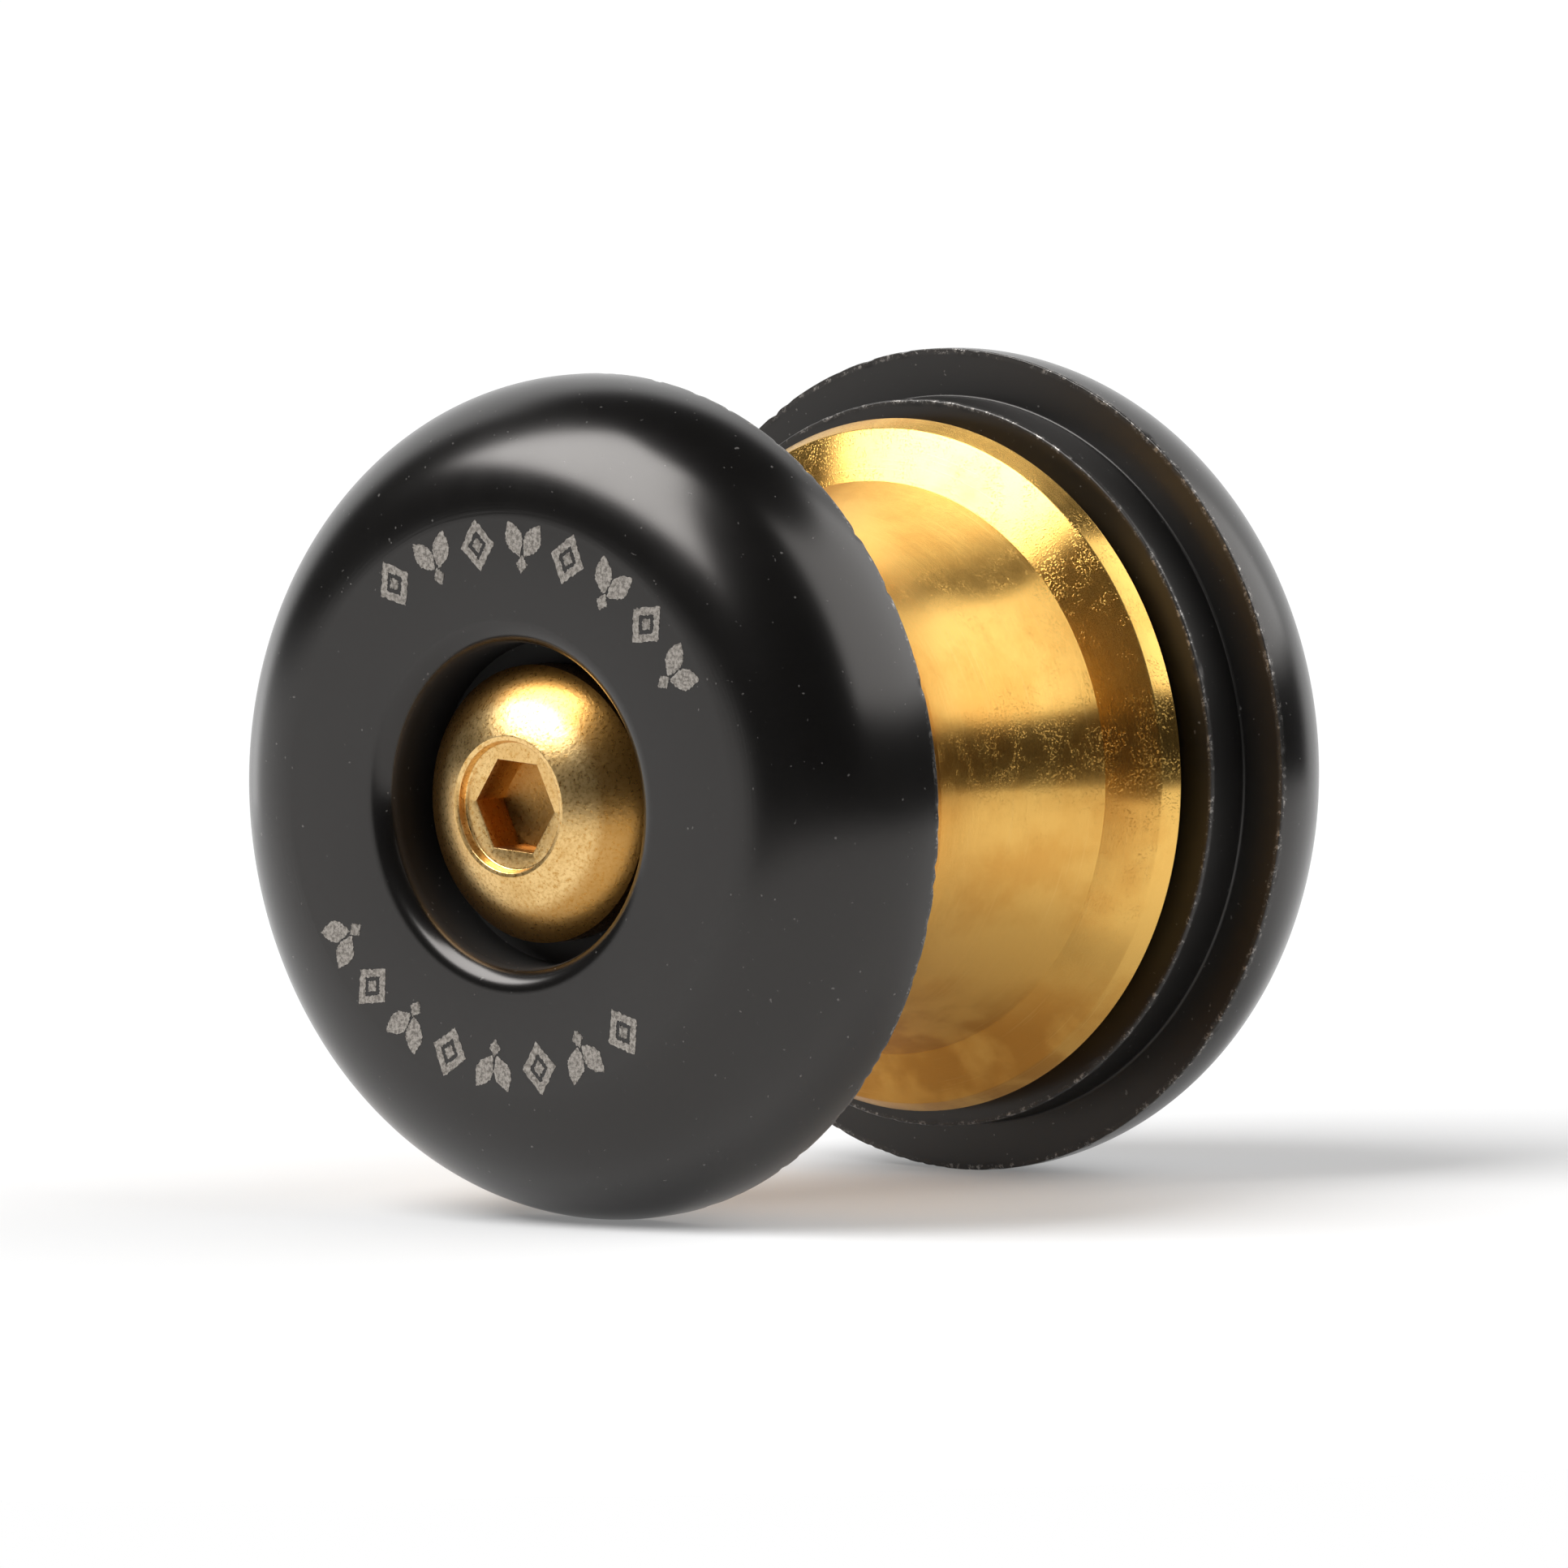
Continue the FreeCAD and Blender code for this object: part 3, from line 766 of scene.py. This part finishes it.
for seed, end in enumerate(("front", "rear")):
    flange = turned(end + "_flange_shell", flange_rings(20 * seed + 5), SEGMENTS)
    place_piece(flange, end, "frame", "black_anodised", BLACK_FINISH, end + "_flange")
    marks = ornament(end + "_flange_ornament")
    place_piece(marks, end, "frame", "black_anodised", ETCHED_FINISH)
    head = turned(end + "_screw_head", head_rings(), HEAD_SEGMENTS, closed=False)
    place_piece(head, end, "frame", "gold_screw", SCREW_FINISH, end + "_screw")
    shank = turned(end + "_screw_shank", shank_rings(), THREAD_SEGMENTS, closed=False)
    place_piece(shank, end, "frame", "gold_screw", SCREW_FINISH)

roller = turned("groove_roller_barrel", roller_rings(), SEGMENTS)
place_piece(roller, "middle", "roller", "gold_roller", ROLLER_FINISH, "groove_roller")

for name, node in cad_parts.items():
    for word, material in CAD_FINISHES.items():
        if word in name:
            for slot in node.material_slots:
                slot.material = material


# ---- floor, light and camera ----

FLOOR_RADIUS = 140
FLOOR_MIDDLE = (-30, 40)
FLOOR_SEGMENTS = 128
FLOOR_TINT = (0.62, 0.62, 0.62, 1)
FLOOR_TINT_PALE = (0.64, 0.64, 0.64, 1)
FLOOR_GLOW = 0.2
WHITE = (1, 1, 1, 1)


def direction(azimuth, elevation):
    """A unit vector towards an azimuth and elevation: 0 is the front, +90 is +X."""
    turn = math.radians(azimuth)
    rise = math.radians(elevation)
    return Vector((math.sin(turn) * math.cos(rise), -math.cos(turn) * math.cos(rise), math.sin(rise)))


def floor():
    """A plain pale table top under the flanges."""
    vertices = []
    for step in range(FLOOR_SEGMENTS):
        angle = FULL_TURN * step / FLOOR_SEGMENTS
        vertices.append((
            (FLOOR_MIDDLE[0] + FLOOR_RADIUS * math.cos(angle)) * MM,
            (FLOOR_MIDDLE[1] + FLOOR_RADIUS * math.sin(angle)) * MM,
            -FLANGE_RADIUS * MM))
    piece = new_piece("floor", vertices, [list(range(FLOOR_SEGMENTS))])
    finish = Finish("pale_table")
    tint = finish.mix(finish.grain(size=40, detail=2.0), FLOOR_TINT, FLOOR_TINT_PALE)
    material = finish.done(
        Base_Color=tint, Roughness=0.8, Specular_IOR_Level=0.0,
        Emission_Color=WHITE, Emission_Strength=FLOOR_GLOW)
    piece.data.materials.append(material)


class Surroundings(Nodes):
    """The studio round the table: mostly dark, with pale panels, and white where the camera sees it."""

    def __init__(self):
        world = bpy.data.worlds.new("studio")
        bpy.context.scene.world = world
        super().__init__(world)
        self.total = None
        sight = self.node("ShaderNodeTexCoord").outputs["Generated"]
        self.x, self.y, self.z = self.node("ShaderNodeSeparateXYZ", [sight]).outputs
        self.azimuth = self.degrees(self.math("ARCTAN2", self.x, self.math("MULTIPLY", self.y, -1)))
        self.elevation = self.degrees(self.math("ARCSINE", self.z))

    def degrees(self, value):
        return self.math("DEGREES", value)

    def panel(self, sides, low, high, soft, light):
        """A patch between two azimuths; its low and high edges are elevations at its left and right side."""
        middle = sum(sides) / 2
        half = (sides[1] - sides[0]) / 2
        aside = self.math("WRAP", self.math("SUBTRACT", self.azimuth, middle), -180, 180)
        share = self.math("DIVIDE", self.math("ADD", aside, half), 2 * half)
        patch = self.math(
            "MULTIPLY",
            self.step(aside, -half - soft[0], soft[0] - half),
            self.step(aside, half + soft[0], half - soft[0]))
        for edge, side in ((low, 1), (high, -1)):
            level = self.math("ADD", self.math("MULTIPLY", share, edge[1] - edge[0]), edge[0])
            over = self.math("SUBTRACT", self.elevation, level)
            patch = self.math("MULTIPLY", patch, self.step(over, -side * soft[1], side * soft[1]))
        patch = self.math("MULTIPLY", patch, light)
        self.total = patch if self.total is None else self.math("ADD", patch, self.total)

    def done(self, base):
        light = self.math("ADD", self.total, base)
        seen = self.node("ShaderNodeLightPath").outputs["Is Camera Ray"]
        white = self.math("MAXIMUM", light, seen)
        self.tree.links.new(white, self.tree.nodes["Background"].inputs["Color"])


# Each panel's sides are azimuths. Its low and high edges are elevations at its left and right side.
PANELS = {
    "key": {"sides": (-66, -1), "low": (33, 33), "high": (70, 74), "soft": (4, 3), "light": 8.2},
    "right": {"sides": (80, 170), "low": (20, 12), "high": (69, 50), "soft": (4, 3), "light": 2.3},
    "backdrop": {"sides": (-190, -97), "low": (-10, -10), "high": (45, 45), "soft": (8, 6), "light": 1.0},
    "left table": {"sides": (-110, -12), "low": (-90, -90), "high": (4, 4), "soft": (10, 4), "light": 1.0},
    "right table": {"sides": (-12, 170), "low": (-90, -90), "high": (-9, -6), "soft": (10, 2), "light": 1.0},
}
DIMNESS = 0.03


def studio():
    """A key panel up on the left, a weaker one up on the right, a pale backdrop and a pale table."""
    around = Surroundings()
    for panel in PANELS.values():
        around.panel(**panel)
    around.done(DIMNESS)
    bpy.context.scene.view_settings.view_transform = "Standard"


CAMERA_AZIMUTH = 39.65
CAMERA_ELEVATION = 3.90
CAMERA_ROLL = -1.34
CAMERA_DISTANCE = 35.80 * FLANGE_RADIUS
CAMERA_AIM_RIGHT = 0.004 * FLANGE_RADIUS
CAMERA_AIM_UP = 0.015 * FLANGE_RADIUS
CAMERA_LENS = 343.2
SENSOR_WIDTH = 36.0
CAMERA_NEAR = 0.01
CAMERA_FAR = 10


def camera():
    """A long lens, a little above the roller and well round to its right."""
    back = direction(CAMERA_AZIMUTH, CAMERA_ELEVATION)
    level = Vector((math.cos(math.radians(CAMERA_AZIMUTH)), math.sin(math.radians(CAMERA_AZIMUTH)), 0))
    upright = back.cross(level)
    roll = math.radians(CAMERA_ROLL)
    right = level * math.cos(roll) + upright * math.sin(roll)
    up = upright * math.cos(roll) - level * math.sin(roll)
    spot = back * CAMERA_DISTANCE - right * CAMERA_AIM_RIGHT - up * CAMERA_AIM_UP
    data = bpy.data.cameras.new("camera")
    data.lens = CAMERA_LENS
    data.sensor_width = SENSOR_WIDTH
    data.clip_start = CAMERA_NEAR
    data.clip_end = CAMERA_FAR
    piece = bpy.data.objects.new("camera", data)
    bpy.context.scene.collection.objects.link(piece)
    piece.matrix_world = Matrix.Translation(spot * MM) @ Matrix((right, up, back)).transposed().to_4x4()
    bpy.context.scene.camera = piece


floor()
studio()
camera()
